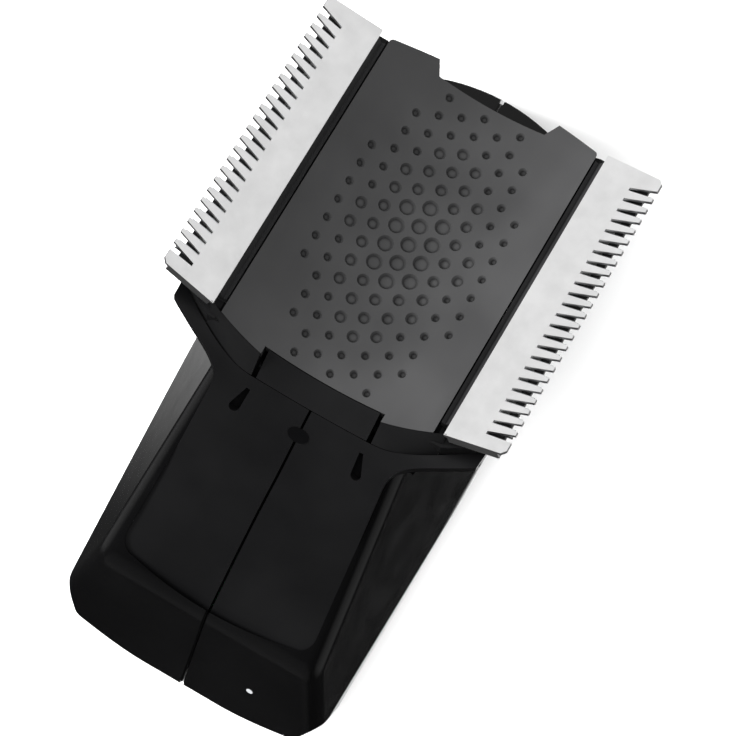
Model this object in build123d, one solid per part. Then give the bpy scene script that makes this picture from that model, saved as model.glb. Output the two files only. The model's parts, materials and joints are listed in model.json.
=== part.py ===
from build123d import *
import math
import os

os.makedirs("parts", exist_ok=True)

# A palm-held body groomer. It lies on its flat back: +Z is up, +Y runs towards the cutting
# head, +X to its right, and the origin is the middle of the back. Millimetres.
# Head pieces are drawn in the head's own frame (x across, y along the blades, z out of the
# comfort plate) and then placed by HEAD.

# driving sizes: head
HEAD_TILT = 22.0        # head plane against the back, degrees
HEAD_Y = 22.0           # plate centre from the origin
HEAD_Z = 26.0
TROUGH_R = 23.5         # the plate is a trough that fits round a limb
PLATE_HALF = 14.2
PLATE_T = 1.6
PLATE_BOTTOM = -21.6    # bottom edge of the plate on the centre line, before its notch
PLATE_TOP = 23.0
NOTCH_HALF = 8.1
NOTCH_BOTTOM = -20.0
NOTCH_TOP = 20.15
TOP_NOTCH_HALF = 7.25     # at its foot: its sides lean outwards
DIMPLE_ROW = 2.66          # spacing of the dimples along and across the plate
DIMPLE_COLUMN = 2.45
DIMPLE_FIRST = (4, 1.5, 0, 0.5, 0, 0.5, 0, 1.5, 4)
DIMPLE_COUNT = (7, 12, 15, 14, 15, 14, 15, 12, 7)
LARGE, MEDIUM, SMALL = 1.0, 0.76, 0.55
LARGE_ROWS = (2, 1.5, -1, -1, -1)      # rows from the middle that are large, by column
MEDIUM_ROWS = (5, 4.5, 3, 0.5, -1)

# driving sizes: blades
TOOTH_PITCH = 1.5
TOOTH_COUNT = 24
BLADE_SLOPE = 16.6      # each blade rises outwards, tangent to a limb
BLADE_X = 15.4          # inner edge of the comb
BLADE_Z = 5.73
BLADE_WIDTH = 7.6
TOOTH_LENGTH = 3.2
TOOTH_LEAN = 0.18       # the gaps lean towards the head's far end, per mm outwards
TOOTH_OFFSET = -0.1     # middle of the row of gaps along the blade
COMB_T = 0.6
CUTTER_T = 0.6
BLADE_GAP = 0.05
LIP = 1.5               # how far the comb's ends are turned down

# driving sizes: body
HALF_WIDTH = 20.4
FRONT_HALF = 13.4
BACK_EDGE = 5.5
BACK_Y = -43.7          # lower end, before its edge is rounded
WALL = 1.8
COVER_T = 2.0
COVER_HALF = 14.0
COVER_LOW = -36.0
COVER_HIGH = 35.0
SEAM_HALF = 0.06        # half the gap between the left and right mouldings
GROOVE_HALF = 0.25      # the groove that marks the seam outside
GROOVE_DEPTH = 0.5
PANEL_T = 1.3
NECK_Y = -23.1          # top edge of the front panels on the centre line, head frame
NECK_Z = -2.5
EDGE_RISE = 0.0085      # how that edge rises towards the wings, per mm squared
EDGE_FLAT = 8.5         # it runs straight across for this far, then turns up into the wings
SHELL_DROP = 0.45       # the gloss shell lies this much below the panels' face
FRONT_SLOPE = 40.0      # front panels against the head plane
PANEL_HALF = 13.3       # near their lower end
WING_HALF = 20.6
SEAT_Z = -7.5           # underside of the head frame, head frame
TRAY_HALF = 20.4
FIT = 0.1               # gap between pieces that are put together

# driving sizes: drive
ARM = 17.5              # rocker arm, centre to drive pin
PIN_R = 0.7
SHAFT_R = 1.0
BORE = 0.03             # running clearance of the shaft and the pins
MOTOR_R = 9.9
MOTOR_TOP = -10.4
MOTOR_BOTTOM = -21.5
CAVITY_FLOOR = -6.0
COVER_SCREWS = ((11.0, -34.0), (11.0, 31.0))
FRAME_SCREWS = ((11.0, -15.0), (11.0, 15.0))

HEAD = Location((0, HEAD_Y, HEAD_Z), (-HEAD_TILT, 0, 0))
BLADE = Location((BLADE_X, 0, BLADE_Z), (0, -BLADE_SLOPE, 0))


def block(x0, x1, y0, y1, z0, z1):
    return Pos((x0 + x1) / 2, (y0 + y1) / 2, (z0 + z1) / 2) * Box(x1 - x0, y1 - y0, z1 - z0)


def rod(x, y, z0, z1, radius):
    return Pos(x, y, (z0 + z1) / 2) * Cylinder(radius, z1 - z0)


def tube(x, y, z0, z1, outer, inner):
    return rod(x, y, z0, z1, outer) - rod(x, y, z0 - 1, z1 + 1, inner)


def row_yz(y, z):
    """A point of the head frame's middle plane, in the part's frame."""
    turn = math.radians(HEAD_TILT)
    return (HEAD_Y + y * math.cos(turn) + z * math.sin(turn),
            HEAD_Z - y * math.sin(turn) + z * math.cos(turn))


def trough(x, radius=TROUGH_R):
    return TROUGH_R - math.sqrt(radius ** 2 - x * x)


def mirror_x(shape):
    return mirror(shape, about=Plane.YZ)


def both_sides(shape):
    return [shape, mirror_x(shape)]


def save(node, *shapes):
    """Writes one node: a solid, or a group of separate solids."""
    solids = [solid for shape in shapes for solid in shape.solids()]
    print(node, len(solids), round(sum(solid.volume for solid in solids), 1))
    export_step(solids[0] if len(solids) == 1 else Compound(children=solids), f"parts/{node}.step")


def save_head(node, *shapes):
    save(node, *[shape.moved(HEAD) for shape in shapes])


def save_pair(name, shape):
    """A right-hand head piece and its mirror image."""
    save_head(f"right_{name}", shape)
    save_head(f"left_{name}", mirror_x(shape))


# body, in the part's frame ---------------------------------------------------------------


def soften(face, radii):
    """Rounds the corners of an outline; radii pairs a corner with its radius."""
    for corner, radius in radii:
        near = min(face.vertices(), key=lambda v: math.dist(tuple(v.center()), corner))
        face = fillet([near], radius)
    return face


def side_face(soft):
    """Side view: flat back, raised lower end, front slope up to the neck, seat under the head."""
    back, front = (BACK_Y, BACK_EDGE), (-30.2, 22.45)
    top_end = (42.0, BACK_EDGE)
    points = [(-39, 0), back, front, row_yz(NECK_Y - 0.2, NECK_Z - SHELL_DROP - 0.2),
              row_yz(-22.4, SEAT_Z), row_yz(25.0, SEAT_Z), top_end, (38.5, 0)]
    face = Plane.YZ * make_face(Polyline(*points, close=True))
    if not soft:
        return face
    under = [((0, -39, 0), 2.0), ((0, 38.5, 0), 2.0)]
    return soften(face, under + [((0, *front), 5.0), ((0, *back), 3.0), ((0, *top_end), 4.0)])


def cross_face(soft):
    """End view: widest just above the back, narrower at the front."""
    edge, front = (HALF_WIDTH, BACK_EDGE), (FRONT_HALF, 29.5)
    right = [(HALF_WIDTH - 3.5, 0), edge, front, (FRONT_HALF - 2, 36)]
    points = right + [(-x, z) for x, z in reversed(right)]
    face = Plane.XZ * make_face(Polyline(*points, close=True))
    if not soft:
        return face
    sides = [((side * edge[0], 0, edge[1]), 8.0) for side in (1, -1)]
    return soften(face, sides + [((side * right[0][0], 0, 0), 2.5) for side in (1, -1)])


def plan_face(soft):
    """View from above: bowed lower end with cut corners, bowed upper end."""
    corner, side = (16.0, -41.1), (18.75, -36.4)
    shoulder, top = (HALF_WIDTH + 0.1, 26), (12, 39.1)
    low = [corner, side, shoulder, top]
    edges = [Polyline(*low),
             ThreePointArc(top, (0, 42.15), (-top[0], top[1])),
             Polyline(*[(-x, y) for x, y in reversed(low)]),
             ThreePointArc((-corner[0], corner[1]), (0, -42.95), corner)]
    face = make_face(edges)
    if not soft:
        return face
    radii = zip(low, (1.5, 3.0, 10.0, 3.5))
    corners = [((turn * x, y, 0), radius) for (x, y), radius in radii for turn in (1, -1)]
    return soften(face, corners)


def body_form(inset=0.0):
    """The outer form of the body, or the same form drawn in by inset."""
    soft = inset == 0.0
    faces = [side_face(soft), cross_face(soft), plan_face(soft)]
    if not soft:
        faces = [offset(face, -inset, kind=Kind.INTERSECTION) for face in faces]
    side, cross, plan = [extrude(face, 60, both=True) for face in faces]
    return side & cross & plan


def front_soft_edges(form):
    """Rounds the long edges between the front slope and the sides."""
    edges = [e for e in form.edges() if e.center().Z > 23.5 and abs(e.center().X) > 8
             and e.center().Y < -3 and e.length > 10]
    return fillet(edges, 2.2)


def boss_blocks():
    """Right-hand screw bosses: two that take the back cover, two that take the head frame."""
    posts = [block(8.9, 17.6, y - 2.1, y + 2.1, COVER_T + 0.05, 8.0) for _, y in COVER_SCREWS]
    seats = [rod(x, y, -12.0, SEAT_Z, 2.3).moved(HEAD) for x, y in FRAME_SCREWS]
    return posts + seats


def screw_holes():
    low = [rod(x, y, COVER_T - 0.5, 7.4, 0.85) for x, y in COVER_SCREWS]
    high = [rod(x, y, -11.4, SEAT_Z + 1, 0.85).moved(HEAD) for x, y in FRAME_SCREWS]
    return low + high


def cover_face(grow):
    outline = Pos(0, (COVER_LOW + COVER_HIGH) / 2) * RectangleRounded(
        2 * (COVER_HALF + grow), COVER_HIGH - COVER_LOW + 2 * grow, 3.0)
    return outline


def housing_half(form, panel_space):
    """The right half of the gloss shell, with its bosses and the seat of its front panel."""
    inner = body_form(WALL)
    half = form - inner
    for boss in boss_blocks():
        half += boss & form
    half -= extrude(cover_face(FIT), COVER_T + FIT)
    half -= rod(0, 0, SEAT_Z - 4, SEAT_Z + 1, MOTOR_R + 0.3).moved(HEAD)
    for hole in screw_holes():
        half -= hole
    skin = form - body_form(GROOVE_DEPTH)
    half -= skin & block(-GROOVE_HALF, GROOVE_HALF, -60, 60, -1, 60)
    half -= panel_space
    return half & block(SEAM_HALF, 60, -60, 60, -1, 60)


def indicator(radius, out):
    """A short round lens set square into the raised lower end."""
    y0, z0, y1, z1 = BACK_Y, BACK_EDGE, -30.2, 22.45
    part = 0.46
    lean = math.degrees(math.atan2(z1 - z0, y1 - y0))
    place = Location((8.55, y0 + part * (y1 - y0), z0 + part * (z1 - z0)), (lean, 0, 0))
    return (Pos(0, 0, out / 2 - 1.0) * Cylinder(radius, 2.0 + out)).moved(place)


def make_body():
    form = front_soft_edges(body_form())
    panels = panel_form()
    half = housing_half(form, panel_form(6.0).moved(HEAD))
    save("right_housing", half - indicator(0.47, 0.6))
    save("left_housing", mirror_x(half))
    save("charge_lens", indicator(0.45, 0.04))
    windows = [drop_window(), mirror_x(drop_window())]
    panels -= windows + [emblem()]
    for name, side in (("right", 1), ("left", -1)):
        x0, x1 = sorted((side * 0.16, side * 60))
        save_head(f"{name}_front_panel", panels & block(x0, x1, -60, 0, -60, 60))
    save_head("emblem", emblem())


# front panels and wings, in the head frame ----------------------------------------------


def edge_y(x):
    """Top edge of the panels and wings: straight, then turning up towards the wing tips."""
    out = max(0.0, abs(x) - EDGE_FLAT)
    return NECK_Y + 0.963 * out * out / (out + 15.2)


def panel_section(y, bow, above):
    """A strip across the panels at one station: bow is its rise per mm squared."""
    half = 23.0
    z = NECK_Z + min(0.0, y - NECK_Y) * math.tan(math.radians(FRONT_SLOPE))
    thick = PANEL_T / math.cos(math.radians(FRONT_SLOPE))
    side = z + bow * half * half
    top = ThreePointArc((-half, y, side + above), (0, y, z + above), (half, y, side + above))
    low = ThreePointArc((half, y, side - thick), (0, y, z - thick), (-half, y, side - thick))
    return Face(Wire([top, Line(top @ 1, low @ 0), low, Line(low @ 1, top @ 0)]))


def panel_plan():
    """Outline of both panels and their wings, seen along the head's normal."""
    tip, heel, neck = (WING_HALF, edge_y(WING_HALF)), (WING_HALF - 0.15, -20.2), (11.9, -26.3)
    side_end, bottom = (PANEL_HALF, -43.2), (PANEL_HALF - 1.8, -45.25)
    wing = Spline(heel, (15.8, -22.5), (12.95, -24.1), neck, tangents=((-0.86, -0.5), (0.05, -1)))
    side = Line(neck, side_end)
    corner = TangentArc(side_end, bottom, tangent=(0.07, -1))
    low = ThreePointArc(bottom, (0, -46.4), (-bottom[0], bottom[1]))
    stations = [WING_HALF * i / 12 for i in range(-12, 13)]
    top = Spline(*[(x, edge_y(x)) for x in stations])
    right = [Line(tip, heel), wing, side, corner]
    left = [mirror(edge, about=Plane.YZ) for edge in reversed(right)]
    return make_face([*right, low, *left, top])


def panel_form(above=0.0):
    """Both panels as one curved slab; above thickens it upwards, to clear what lies over it."""
    stations = ((-17.0, EDGE_RISE), (-23.1, EDGE_RISE), (-27.0, 0.009), (-31.5, -0.001),
                (-40.0, -0.004), (-50.0, -0.005))
    slab = loft([panel_section(y, bow, above) for y, bow in stations])
    return slab & extrude(panel_plan(), 60, both=True)


def on_panel(x, down):
    """Location on the panels' face: down is the distance below their top edge."""
    slope = math.radians(FRONT_SLOPE)
    z = NECK_Z + EDGE_RISE * x * x * 0.8 - down * math.sin(slope)
    return Location((x, NECK_Y - down * math.cos(slope), z), (FRONT_SLOPE, 0, 0))


def drop_window():
    """The drop-shaped window beside the release tab, leaning outwards."""
    drop = make_face([Line((0.25, 1.9), (-0.25, 1.9)), Line((-0.25, 1.9), (-0.66, -1.0)),
                      ThreePointArc((-0.66, -1.0), (0, -1.75), (0.66, -1.0)),
                      Line((0.66, -1.0), (0.25, 1.9))])
    tall = extrude(drop, 2.4, both=True)
    return tall.moved(Location((0, 0, 0), (0, 0, 12))).moved(on_panel(8.1, 3.4))


def emblem():
    """A plain oval badge let into the panels over the seam."""
    badge = extrude(Ellipse(1.35, 0.95), 0.4).moved(Location((0, 0, -0.2)))
    return badge.moved(on_panel(0, 3.5))


# head, in the head frame ------------------------------------------------------------------


def trough_slab(inner, outer, half, y0, y1):
    """A curved plate: the ring between two radii about the trough's axis, cut to a width."""
    axis = Location((0, (y0 + y1) / 2, TROUGH_R), (90, 0, 0))
    ring = Cylinder(outer, y1 - y0) - Cylinder(inner, y1 - y0 + 2)
    return ring.moved(axis) & block(-half, half, y0 - 1, y1 + 1, -20, TROUGH_R - 8)


def plate_plan():
    low = PLATE_BOTTOM + 0.0083 * PLATE_HALF ** 2
    high = PLATE_TOP - 0.0149 * PLATE_HALF ** 2
    outline = make_face([ThreePointArc((-PLATE_HALF, low), (0, PLATE_BOTTOM), (PLATE_HALF, low)),
                         Line((PLATE_HALF, low), (PLATE_HALF, high)),
                         ThreePointArc((PLATE_HALF, high), (0, PLATE_TOP), (-PLATE_HALF, high)),
                         Line((-PLATE_HALF, high), (-PLATE_HALF, low))])
    corners = [v for v in outline.vertices() if v.Y > 0]
    outline = fillet(corners, 0.7)
    outline -= Pos(0, NOTCH_BOTTOM - 5) * Rectangle(2 * NOTCH_HALF, 10)
    wide = TOP_NOTCH_HALF + 0.56 * 5
    return outline - make_face(Polyline((-TOP_NOTCH_HALF, NOTCH_TOP), (TOP_NOTCH_HALF, NOTCH_TOP),
                                        (wide, NOTCH_TOP + 5), (-wide, NOTCH_TOP + 5), close=True))


def dimple_places():
    """Column, row and radius of each dimple: large in the middle, then medium, then small."""
    for index, (first, count) in enumerate(zip(DIMPLE_FIRST, DIMPLE_COUNT)):
        column = abs(index - 4)
        for row in range(count):
            place = 7 - first - row
            size = SMALL
            if abs(place) <= MEDIUM_ROWS[column]:
                size = MEDIUM
            if abs(place) <= LARGE_ROWS[column]:
                size = LARGE
            yield (index - 4) * DIMPLE_COLUMN, place * DIMPLE_ROW, size


def comfort_plate():
    plate = trough_slab(TROUGH_R, TROUGH_R + PLATE_T, PLATE_HALF, -24, 25)
    plate &= extrude(plate_plan(), 40, both=True)
    cutters = []
    for x, y, size in dimple_places():
        lean = math.degrees(math.asin(x / TROUGH_R))
        place = Location((x, y, trough(x)), (0, -lean, 0))
        cutters.append(Cone(size - 0.25, size + 0.03, 0.42).moved(place * Pos(0, 0, -0.18)))
    return plate - cutters


def band_section(x, top_y):
    """Section of the sloping end face at x, from the plate's edge down to the panels' edge."""
    upper, lower = trough(x) - 0.02, NECK_Z + EDGE_RISE * x * x + 0.04
    under = trough(x, TROUGH_R + PLATE_T) - 0.06
    y_low = edge_y(x) + 0.06
    points = [(x, top_y, upper), (x, y_low, lower), (x, y_low + 1.1, lower - 1.2),
              (x, -19.3, lower - 1.2), (x, -19.3, under), (x, top_y, under)]
    return Face(Wire.make_polygon([Vector(*p) for p in points], close=True))


def end_band(x0, x1, top_at):
    steps = 4
    stations = [x0 + (x1 - x0) * i / steps for i in range(steps + 1)]
    return loft([band_section(x, top_at(x)) for x in stations])


def plate_edge(x):
    return PLATE_BOTTOM - 0.06 + 0.0083 * x * x


def tray_slope():
    """What is cut from a lower corner of the tray, so that it stays behind the wing."""
    face = make_face(Polyline((-21.5, 3.2), (-20.9, 3.2), (-19.5, -7.6), (-21.5, -7.6), close=True))
    slope = Pos(14.2, 0, 0) * extrude(Plane.YZ * face, 7)
    edge = [(x, edge_y(x) + 0.25) for x in (14.2, 15.8, 17.4, 19.0, 21.0)]
    plan = make_face(Polyline((14.2, -22), *edge, (21.0, -22), close=True))
    return slope + extrude(plan, 12, both=True)


def head_frame():
    """Tray that holds the drive, the blade rails and the plate, with its end face segments."""
    tray = block(-TRAY_HALF, TRAY_HALF, -20.6, 20.2, SEAT_Z + 0.05, 3.1)
    tray = fillet(tray.edges().filter_by(Axis.Z), 2.0)
    lower = [e for e in tray.edges() if e.center().Z < SEAT_Z + 0.1]
    tray = chamfer(lower, 1.4)
    cavity = block(-14.9, 14.9, -18.6, 19.4, CAVITY_FLOOR, 10)
    tray -= fillet(cavity.edges().filter_by(Axis.Z), 4.0)
    tray -= both_sides(tray_slope())
    tray -= Cylinder(TROUGH_R + PLATE_T + 0.05, 60).moved(Location((0, 0, TROUGH_R), (90, 0, 0)))
    tray -= block(-19.3, 19.3, -3.6, 3.6, CAVITY_FLOOR + 0.2, 4)
    tray -= rod(0, 0, SEAT_Z - 1, CAVITY_FLOOR + 1, 2.6)
    tray -= block(-NOTCH_HALF, NOTCH_HALF, -25, -18.5, -5.2, 10)
    for x, y in FRAME_SCREWS:
        tray -= [rod(x, y, -9, -4, 1.0), rod(-x, y, -9, -4, 1.0)]
    for side in (1, -1):
        tray += end_band(side * (NOTCH_HALF + 0.05), side * 15.7, plate_edge)
    return tray


def release_tab():
    """Press tab between the end face segments: pushed in, it frees the plate."""
    return end_band(-NOTCH_HALF + 0.6, NOTCH_HALF - 0.6, lambda x: NOTCH_BOTTOM - 0.1)


def place_uw(u, w):
    """Point of the blade's cross-section in the head's x and z."""
    turn = math.radians(BLADE_SLOPE)
    return (BLADE_X + u * math.cos(turn) - w * math.sin(turn),
            BLADE_Z + u * math.sin(turn) + w * math.cos(turn))


def toothed(outline, count, middle, root_half, tip_half, z0, z1):
    """A flat blade in its own frame with wedge-shaped gaps cut into its outer edge."""
    blank = extrude(Pos(0, 0, z0) * make_face(Polyline(*outline, close=True)), z1 - z0)
    root, end = BLADE_WIDTH - TOOTH_LENGTH, BLADE_WIDTH + 0.1
    lean = TOOTH_LEAN * (end - root)
    gap = make_face(Polyline((root, -root_half), (end, lean - tip_half), (end, lean + tip_half),
                             (root, root_half), close=True))
    gap = extrude(gap, z1 - z0 + 2).moved(Location((0, 0, z0 - 1)))
    gaps = [Pos(0, middle + (i - (count - 1) / 2) * TOOTH_PITCH, 0) * gap for i in range(count)]
    return blank - gaps


def comb():
    """Fixed comb: its ends slant with its teeth and are turned down."""
    outline = [(0, -19.8), (BLADE_WIDTH - 0.5, -18.95), (BLADE_WIDTH, -18.4),
               (BLADE_WIDTH, 19.3), (BLADE_WIDTH - 0.4, 19.75), (0, 20.05)]
    blade = toothed(outline, TOOTH_COUNT, TOOTH_OFFSET, 0.2, 0.5, -COMB_T, 0)
    low = [(0.3, -19.75), (6.6, -19.0), (6.6, -18.4), (0.3, -19.15)]
    high = [(0.3, 20.03), (6.6, 19.76), (6.6, 19.16), (0.3, 19.43)]
    for lip in (low, high):
        face = Pos(0, 0, -COMB_T - LIP) * make_face(Polyline(*lip, close=True))
        blade += extrude(face, LIP)
    return blade.moved(BLADE)


def cutter():
    """Moving cutter under the comb, two gaps shorter."""
    z1 = -COMB_T - BLADE_GAP
    outline = [(1.85, -16.8), (BLADE_WIDTH - 0.5, -16.5), (BLADE_WIDTH - 0.5, 17.5), (1.85, 17.0)]
    blade = toothed(outline, TOOTH_COUNT - 2, TOOTH_OFFSET + 0.35, 0.25, 0.5, z1 - CUTTER_T, z1)
    return blade.moved(BLADE)


def under_cutter():
    """Everything above the cutter's underside, to trim what reaches up to it."""
    return block(-30, 30, -30, 30, -COMB_T - BLADE_GAP - CUTTER_T, 30).moved(BLADE)


def follower():
    body = block(ARM - 1.0, ARM + 1.5, -2.1, 2.1, 0.6, 8) - under_cutter()
    return body - block(ARM - 2, ARM + 2, -PIN_R - BORE, PIN_R + BORE, 0, 3.4)


def rail():
    """Blade rail: a V-shaped groove runs along its inner side, beside the plate."""
    points = [(14.4, 3.15), (14.4, 4.9), (14.9, 4.45), place_uw(-0.06, -0.04), place_uw(-0.06, -0.62),
              place_uw(1.75, -0.62), place_uw(1.75, -1.75), place_uw(6.1, -1.75),
              place_uw(6.1, -2.3), (TRAY_HALF - 0.2, 3.15)]
    section = Plane.XZ * make_face(Polyline(*points, close=True))
    low, high = -18.3, 19.0
    body = extrude(section, high).moved(Location((0, high, 0)))
    body += extrude(section, -low)
    for y0, y1 in ((low, low + 0.5), (high - 0.5, high)):
        body += block(1.4, 5.9, y0, y1, -1.8, -0.62).moved(BLADE)
    return body - block(ARM - 1.2, ARM + 1.8, -3.1, 3.1, 2, 8)


def pressure_leaf():
    """Two bowed leaves under each cutter that keep it against its comb."""
    leaves = []
    for end in (1, -1):
        points = [(end * 4.5, -1.73), (end * 9.5, -1.42), (end * 14.5, -1.73)]
        upper = ThreePointArc(*points)
        lower = ThreePointArc(*[(y, w + 0.14) for y, w in reversed(points)])
        face = Plane.YZ * make_face([upper, Line(upper @ 1, lower @ 0), lower,
                                     Line(lower @ 1, upper @ 0)])
        leaves.append((Pos(2.35, 0, 0) * extrude(face, 2.8)).moved(BLADE))
    return leaves


def make_head():
    save_head("comfort_plate", comfort_plate())
    save_head("head_frame", head_frame())
    save_head("release_tab", release_tab())
    save_pair("comb", comb())
    save_pair("cutter", cutter())
    save_pair("follower", follower())
    save_pair("blade_rail", rail())
    leaves = pressure_leaf()
    save_head("right_pressure_leaf", *leaves)
    save_head("left_pressure_leaf", *[mirror_x(leaf) for leaf in leaves])


# drive, in the head frame -----------------------------------------------------------------


def rocker():
    """White lever on the motor shaft, with one arm to each cutter."""
    arm = block(-ARM, ARM, -1.5, 1.5, -5.4, -3.2) + rod(0, 0, -5.4, -2.6, 3.5)
    for x in (ARM, -ARM):
        arm += rod(x, 0, -5.4, -3.2, 1.5)
        arm -= rod(x, 0, -6, -2, PIN_R + 0.01)
    return arm - rod(0, 0, -6, -2, SHAFT_R + 0.01)


def stator():
    ring = tube(0, 0, -19, -12, 9.0, 7.2)
    for y0, y1 in ((5.0, 7.5), (-7.5, -5.0)):
        ring += block(-1.8, 1.8, y0, y1, -19, -12)
    return ring


def coil(side):
    y0, y1 = sorted((side * 5.2, side * 6.4))
    return block(-3, 3, y0, y1, -19.8, -11.2) - block(-1.85, 1.85, y0 - 1, y1 + 1, -19.05, -11.95)


def motor_can():
    can = tube(0, 0, MOTOR_BOTTOM + 1.2, MOTOR_TOP, MOTOR_R, 9.05)
    return can + tube(0, 0, MOTOR_BOTTOM, MOTOR_BOTTOM + 1.2, MOTOR_R, 2.25)


def motor_bracket():
    plate = tube(0, 0, MOTOR_TOP + 0.02, SEAT_Z, MOTOR_R, 2.25)
    for x in (6.5, -6.5):
        plate -= rod(x, 0, MOTOR_TOP - 1, SEAT_Z + 1, 0.9)
    return plate


def screw(x, y, z_head, length, radius):
    """Pan-head screw, head up at z_head, with a cross slot."""
    body = rod(x, y, z_head - length, z_head, radius) + rod(x, y, z_head, z_head + 1.1, radius * 1.9)
    slot = block(x - 1.1, x + 1.1, y - 0.2, y + 0.2, z_head + 0.6, z_head + 2)
    cross = block(x - 0.2, x + 0.2, y - 1.1, y + 1.1, z_head + 0.6, z_head + 2)
    return body - slot - cross


def make_drive():
    save_head("rocker", rocker())
    save_pair("drive_pin", rod(ARM, 0, -5.4, 2.6, PIN_R))
    save_head("motor_shaft", rod(0, 0, -21.9, -2.3, SHAFT_R))
    save_head("rotor_magnet", tube(0, 0, -19.4, -11.6, 4.7, SHAFT_R + 0.01))
    save_head("stator_core", stator())
    save_head("front_coil", coil(-1))
    save_head("rear_coil", coil(1))
    save_head("motor_can", motor_can())
    save_head("motor_bracket", motor_bracket())
    save_head("upper_bush", tube(0, 0, MOTOR_TOP, SEAT_Z - 0.1, 2.2, SHAFT_R + BORE))
    save_head("lower_bush", tube(0, 0, MOTOR_BOTTOM, MOTOR_BOTTOM + 1.6, 2.2, SHAFT_R + BORE))
    save_head("shaft_seal", tube(0, 0, SEAT_Z + 0.1, CAVITY_FLOOR + 0.3, 2.55, SHAFT_R + BORE))
    screws = [screw(x, y, CAVITY_FLOOR, 4.6, 0.84) for x, y in FRAME_SCREWS]
    save_head("frame_screws", *[s for right in screws for s in both_sides(right)])


# power and back, in the part's frame ------------------------------------------------------


def back_cover():
    cover = extrude(cover_face(0), COVER_T)
    cover -= block(-4.6, 4.6, 24.3, 33.3, -1, 1.2)
    cover -= block(-1.5, 1.5, 26.2, 31.4, -1, 3)
    for x in (5, -5):
        cover -= rod(x, -30, -1, 3, 1.22)
    for x, y in COVER_SCREWS:
        for side in (x, -x):
            cover -= [rod(side, y, -1, 3, 1.0), rod(side, y, -1, 1.2, 1.9)]
    return cover


def cover_screw(x, y):
    turned = screw(0, 0, 0, 5.6, 0.84).moved(Location((0, 0, 0), (180, 0, 0)))
    return turned.moved(Location((x, y, 1.2)))


def battery_tray():
    tray = block(-12.4, 12.4, -31.6, 2.6, COVER_T + 0.05, 12.0)
    return tray - block(-11.2, 11.2, -30.4, 1.4, COVER_T + 1.0, 13)


def battery():
    cell = block(-11, 11, -30.2, 1.2, COVER_T + 1.05, 10.6)
    return fillet(cell.edges().filter_by(Axis.Y), 2.0)


def control_board():
    board = block(-12.2, 12.2, -31.4, 2.4, 12.05, 13.2)
    chips = block(-4, 3, -20, -13, 13.2, 14.4) + block(4.5, 8, -10, -5, 13.2, 14.2)
    return board + chips


def power_knob():
    knob = block(-4.3, 4.3, 24.6, 29.8, 0.25, 1.15)
    for i in range(4):
        knob -= block(-3.2, 3.2, 25.3 + i * 1.1, 25.8 + i * 1.1, 0, 0.5)
    return knob + block(-1.35, 1.35, 26.5, 28.1, 1.15, 3.4)


def power_switch():
    body = block(-5, 5, 25.3, 34.6, COVER_T + 0.05, 6.2)
    return body - block(-1.6, 1.6, 26.1, 31.5, 1, 3.7)


def make_power():
    save("back_cover", back_cover())
    screws = [cover_screw(x, y) for x, y in COVER_SCREWS]
    save("cover_screws", *[s for right in screws for s in both_sides(right)])
    save("battery_tray", battery_tray())
    save("battery", battery())
    save("control_board", control_board())
    save("power_knob", power_knob())
    save("power_switch", power_switch())
    save("charge_contacts", rod(5, -30, 0.1, COVER_T, 1.2), rod(-5, -30, 0.1, COVER_T, 1.2))


make_body()
make_head()
make_drive()
make_power()
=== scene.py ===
import json
import math

import bpy
from mathutils import Euler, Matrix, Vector

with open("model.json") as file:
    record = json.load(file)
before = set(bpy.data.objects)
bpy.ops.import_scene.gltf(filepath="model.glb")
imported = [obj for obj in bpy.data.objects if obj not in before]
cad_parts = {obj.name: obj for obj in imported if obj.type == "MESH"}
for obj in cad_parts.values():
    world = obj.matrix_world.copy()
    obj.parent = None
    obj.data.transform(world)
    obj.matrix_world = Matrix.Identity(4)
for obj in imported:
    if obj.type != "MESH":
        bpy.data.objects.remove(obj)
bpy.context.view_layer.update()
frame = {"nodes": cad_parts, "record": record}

scene = bpy.context.scene
nodes = frame["nodes"]

HEAD = (-math.radians(22), 0, 0)      # the head's tilt, which turns a texture after its stretch

# Texture scales are features per metre, and heights are metres.
DRIFT_SCALE = 90          # a plastic's slow change of colour
SMUDGE_SCALE = 260        # its uneven sheen
GRAIN_SCALE = 9000        # its spark-eroded grain
WAVE_SCALE = 130          # the faint waves of a moulded wall
WAVE_HEIGHT = 0.00002
WAVE_STRENGTH = 0.35
CLOUD_SCALE = 350         # a steel's changes of tone
STREAK_STRETCH = 30       # steel streaks are this much longer than they are wide
PAINTED_SHADE_AIR = (0.55, 0.90)     # open share of the sky at a hollow's darkest and at its rim, for the painted shade in hollows
PAINTED_SHADE_DARK = 0.05            # painted shade: colour and shine left at a hollow's darkest


# materials ----------------------------------------------------------------------------------


def put(socket, value):
    """Link another node's output to the socket, or set its own value."""
    if isinstance(value, bpy.types.NodeSocket):
        socket.id_data.links.new(value, socket)
    else:
        socket.default_value = value


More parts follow.
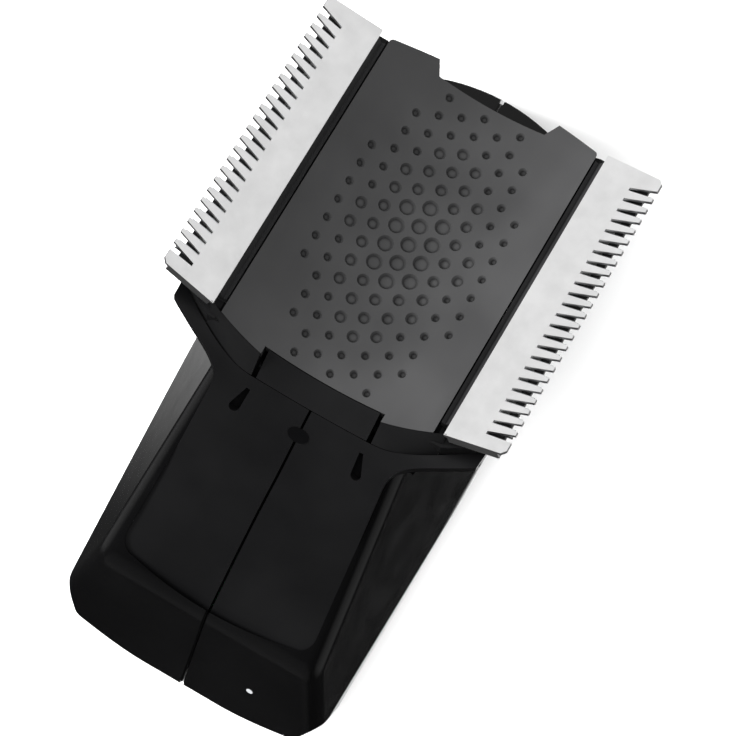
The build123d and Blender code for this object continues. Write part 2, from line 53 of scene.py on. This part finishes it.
class Maker:
    """A node material under construction; every texture is laid out in object metres."""

    def __init__(self, name):
        self.mat = bpy.data.materials.new(name)
        self.mat.use_nodes = True
        self.tree = self.mat.node_tree
        self.bsdf = self.tree.nodes["Principled BSDF"]
        self.coords = self.node("ShaderNodeTexCoord").outputs["Object"]
        self.normal = None

    def node(self, kind, **inputs):
        made = self.tree.nodes.new(kind)
        for key, value in inputs.items():
            put(made.inputs[key.replace("_", " ")], value)
        return made

    def set(self, **values):
        for key, value in values.items():
            put(self.bsdf.inputs[key.replace("_", " ")], value)

    def noise(self, scale, detail=3.0, rough=0.5, stretch=(1, 1, 1), turn=(0, 0, 0)):
        mapping = self.node("ShaderNodeMapping", Vector=self.coords, Scale=stretch, Rotation=turn)
        made = self.node("ShaderNodeTexNoise", Vector=mapping.outputs["Vector"], Scale=scale,
                         Detail=detail, Roughness=rough)
        return made.outputs["Fac"]

    def ramp(self, fac, low, high, a, b):
        made = self.node("ShaderNodeMapRange", Value=fac, From_Min=low, From_Max=high, To_Min=a,
                         To_Max=b)
        return made.outputs["Result"]

    def mix(self, fac, a, b):
        made = self.tree.nodes.new("ShaderNodeMix")
        made.data_type = "RGBA"
        put(made.inputs[0], fac)
        for socket, colour in ((made.inputs[6], a), (made.inputs[7], b)):
            put(socket, (*colour, 1) if isinstance(colour, tuple) else colour)
        return made.outputs[2]

    def bump(self, height, distance, strength=1.0):
        """Add to the surface's relief; each bump stands on the one before it."""
        made = self.node("ShaderNodeBump", Height=height, Distance=distance, Strength=strength)
        if self.normal is not None:
            put(made.inputs["Normal"], self.normal)
        self.normal = made.outputs["Normal"]
        self.set(Normal=self.normal)


def plastic(name, dark, light, rough, grain=0.0, shine=0.5, spread=0.06, painted_shade_reach=0.0):
    """Moulded plastic: slight colour drift, uneven sheen and, if asked, a spark-eroded grain.
    With recess set, hollows of about that size get painted shade: a darker colour and a duller
    shine."""
    made = Maker(name)
    drift = made.noise(DRIFT_SCALE, detail=2)
    colour = made.mix(made.ramp(drift, 0.35, 0.65, 0, 1), dark, light)
    # painted shade: ambient occlusion darkens the colour and dulls the shine in hollows, such as
    # the plate's dimples
    if painted_shade_reach:
        sky_seen = made.node("ShaderNodeAmbientOcclusion", Distance=painted_shade_reach).outputs["AO"]
        unshaded_share = made.ramp(sky_seen, *PAINTED_SHADE_AIR, 0, 1)
        colour = made.mix(unshaded_share, tuple(c * PAINTED_SHADE_DARK for c in dark), colour)
        shine = made.ramp(unshaded_share, 0, 1, PAINTED_SHADE_DARK, shine)
    made.set(Base_Color=colour)
    smudge = made.noise(SMUDGE_SCALE, detail=4, rough=0.6)
    made.set(Roughness=made.ramp(smudge, 0.3, 0.7, rough - spread, rough + spread))
    made.set(Specular_IOR_Level=shine, IOR=1.5)
    if grain:
        made.bump(made.noise(GRAIN_SCALE, detail=2), grain)
    made.bump(made.noise(WAVE_SCALE, detail=1), WAVE_HEIGHT, WAVE_STRENGTH)
    return made.mat


def steel(name, colour, rough, turn, across=9000, streak=0.000004, drift=0.05):
    """Ground metal: fine streaks in height and roughness, and a cloudy tone."""
    made = Maker(name)
    lines = made.noise(1, detail=2, stretch=(across, across / STREAK_STRETCH, across), turn=turn)
    cloud = made.noise(CLOUD_SCALE, detail=3)
    darker = tuple(c * (1 - drift * 2) for c in colour)
    made.set(Base_Color=made.mix(made.ramp(cloud, 0.3, 0.7, 0, 1), darker, colour))
    made.set(Metallic=1.0)
    made.set(Roughness=made.ramp(lines, 0.3, 0.7, rough - drift, rough + drift))
    made.bump(lines, streak)
    return made.mat


MATERIALS = {
    "shell_gloss": plastic("shell_gloss", (0.0012, 0.0012, 0.0013), (0.0020, 0.0020, 0.0021), 0.15,
                           shine=0.18, spread=0.03),
    "panel_satin": plastic("panel_satin", (0.0032, 0.0032, 0.0034), (0.0045, 0.0045, 0.0047), 0.38,
                           grain=0.000004, shine=0.15),
    "charcoal": plastic("charcoal", (0.0045, 0.0045, 0.0047), (0.0060, 0.0060, 0.0062), 0.42,
                        grain=0.000005, shine=0.1),
    # the plate's dimples get painted shade in their hollows
    "plate_grey": plastic("plate_grey", (0.026, 0.026, 0.0265), (0.034, 0.034, 0.0345), 0.5,
                          grain=0.000006, shine=0.3, painted_shade_reach=0.00055),
    "rail_satin": plastic("rail_satin", (0.014, 0.014, 0.0145), (0.019, 0.019, 0.0195), 0.4,
                          grain=0.000005, shine=0.4),
    "comb_steel": steel("comb_steel", (0.90, 0.90, 0.90), 0.42, HEAD),
    "cutter_steel": steel("cutter_steel", (0.75, 0.76, 0.77), 0.26, HEAD),
    "spring_steel": steel("spring_steel", (0.62, 0.62, 0.61), 0.30, HEAD),
    "screw_steel": steel("screw_steel", (0.55, 0.55, 0.56), 0.32, (0, 0, 0), across=5000),
    "motor_steel": steel("motor_steel", (0.60, 0.60, 0.59), 0.35, HEAD, across=3000),
    "badge_chrome": steel("badge_chrome", (0.06, 0.06, 0.065), 0.35, (0, 0, 0)),
    "lens_clear": plastic("lens_clear", (0.30, 0.31, 0.32), (0.42, 0.43, 0.44), 0.2),
    "white_acetal": plastic("white_acetal", (0.70, 0.70, 0.67), (0.80, 0.80, 0.77), 0.42),
    "tray_plastic": plastic("tray_plastic", (0.018, 0.018, 0.019), (0.028, 0.028, 0.030), 0.5,
                            grain=0.000012),
    "lamination": steel("lamination", (0.20, 0.20, 0.21), 0.5, HEAD, across=4000),
    "magnet": steel("magnet", (0.16, 0.16, 0.17), 0.55, HEAD, across=900),
    "copper": steel("copper", (0.76, 0.34, 0.15), 0.34, HEAD, across=6000),
    "bronze": steel("bronze", (0.62, 0.42, 0.20), 0.45, HEAD, across=2500),
    "seal_rubber": plastic("seal_rubber", (0.012, 0.012, 0.012), (0.022, 0.022, 0.022), 0.7,
                           grain=0.000008),
    "board_green": plastic("board_green", (0.01, 0.08, 0.035), (0.015, 0.11, 0.05), 0.35),
    "cell_wrap": plastic("cell_wrap", (0.12, 0.20, 0.30), (0.16, 0.25, 0.36), 0.3),
    "contact_gold": steel("contact_gold", (0.85, 0.60, 0.24), 0.24, (0, 0, 0)),
}

# The rails are a shade lighter than the slot that they share with the front panels.
for part in frame["record"]["subparts"]:
    piece = nodes[part["node"]]
    slot = "rail_satin" if part["node"].endswith("blade_rail") else part["material_slot"]
    piece.data.materials.clear()
    piece.data.materials.append(MATERIALS[slot])


# floor, light and camera --------------------------------------------------------------------

FLOOR_HALF = 1.5

# The world's bright patches: a direction, the cosines where the patch starts and is full, and its
# strength. The floor is hidden from reflections, so those from below are seen in them.
SURROUND = 0.03
PATCHES = (
    ((-0.12, 0.60, 0.68), 0.50, 0.80, 0.97),      # above, towards the head's far end
    ((0.25, -0.10, -0.96), 0.950, 1.0, 1.8),      # below, a little to the right
    ((-0.40, 0.10, -0.91), 0.955, 0.99, 0.8),     # below, to the left
    ((0.95, -0.10, 0.05), 0.74, 0.96, 0.7),       # right
    ((-0.95, -0.10, 0.05), 0.74, 0.96, 0.7),      # left
    ((0.0, -0.97, 0.15), 0.80, 0.97, 0.2),        # behind the lower end
)

# Both lamps point at AIM; their sizes are in metres and their powers in watts.
AIM = (0.0, 0.01, 0.025)
KEY_PLACE = (-0.50, -0.10, 0.26)
KEY_SIZE = 0.2
KEY_POWER = 9
OVERHEAD_PLACE = (0.1, -0.1, 0.9)
OVERHEAD_SIZE = 0.9
OVERHEAD_POWER = 12

CAMERA_PLACE = (0.0342, 0.0465, 0.3812)
CAMERA_TURN = (-3.11, 7.49, 29.18)      # degrees
CAMERA_LENS = 146.7
CAMERA_SENSOR = 36
CAMERA_NEAR = 0.01


def floor():
    corners = [(x * FLOOR_HALF, y * FLOOR_HALF, 0) for x, y in ((-1, -1), (1, -1), (1, 1), (-1, 1))]
    mesh = bpy.data.meshes.new("floor")
    mesh.from_pydata(corners, [], [(0, 1, 2, 3)])
    plane = bpy.data.objects.new("floor", mesh)
    scene.collection.objects.link(plane)
    made = Maker("floor")
    tone = made.noise(4, detail=2)
    made.set(Base_Color=made.mix(tone, (0.93, 0.93, 0.93), (0.97, 0.97, 0.97)), Roughness=0.9)
    plane.data.materials.append(made.mat)
    plane.visible_glossy = False


def area_light(name, place, size, power):
    """A square lamp that points at AIM and is hidden from reflections."""
    light = bpy.data.lights.new(name, "AREA")
    light.shape = "SQUARE"
    light.size = size
    light.energy = power
    lamp = bpy.data.objects.new(name, light)
    scene.collection.objects.link(lamp)
    lamp.location = place
    lamp.rotation_euler = (Vector(AIM) - Vector(place)).to_track_quat("-Z", "Y").to_euler()
    lamp.visible_glossy = False


def studio_world():
    """Soft studio light: a dim surround with PATCHES added to it."""
    world = bpy.data.worlds.new("studio")
    world.use_nodes = True
    tree = world.node_tree
    look = tree.nodes.new("ShaderNodeTexCoord").outputs["Generated"]
    total = SURROUND
    for direction, start, full, strength in PATCHES:
        near = tree.nodes.new("ShaderNodeVectorMath")
        near.operation = "DOT_PRODUCT"
        put(near.inputs[0], look)
        put(near.inputs[1], Vector(direction).normalized())
        soft = tree.nodes.new("ShaderNodeMapRange")
        soft.interpolation_type = "SMOOTHSTEP"
        put(soft.inputs["Value"], near.outputs["Value"])
        put(soft.inputs["From Min"], start)
        put(soft.inputs["From Max"], full)
        put(soft.inputs["To Max"], strength)
        add = tree.nodes.new("ShaderNodeMath")
        put(add.inputs[0], soft.outputs["Result"])
        put(add.inputs[1], total)
        total = add.outputs[0]
    background = tree.nodes["Background"]
    put(background.inputs["Color"], (1, 1, 1, 1))
    put(background.inputs["Strength"], total)
    scene.world = world


def place_camera():
    camera = bpy.data.cameras.new("camera")
    camera.lens = CAMERA_LENS
    camera.sensor_width = CAMERA_SENSOR
    camera.clip_start = CAMERA_NEAR
    eye = bpy.data.objects.new("camera", camera)
    scene.collection.objects.link(eye)
    eye.location = CAMERA_PLACE
    eye.rotation_euler = Euler([math.radians(angle) for angle in CAMERA_TURN])
    scene.camera = eye


floor()
studio_world()
area_light("key", KEY_PLACE, KEY_SIZE, KEY_POWER)
area_light("overhead", OVERHEAD_PLACE, OVERHEAD_SIZE, OVERHEAD_POWER)
place_camera()
scene.view_settings.view_transform = "Standard"
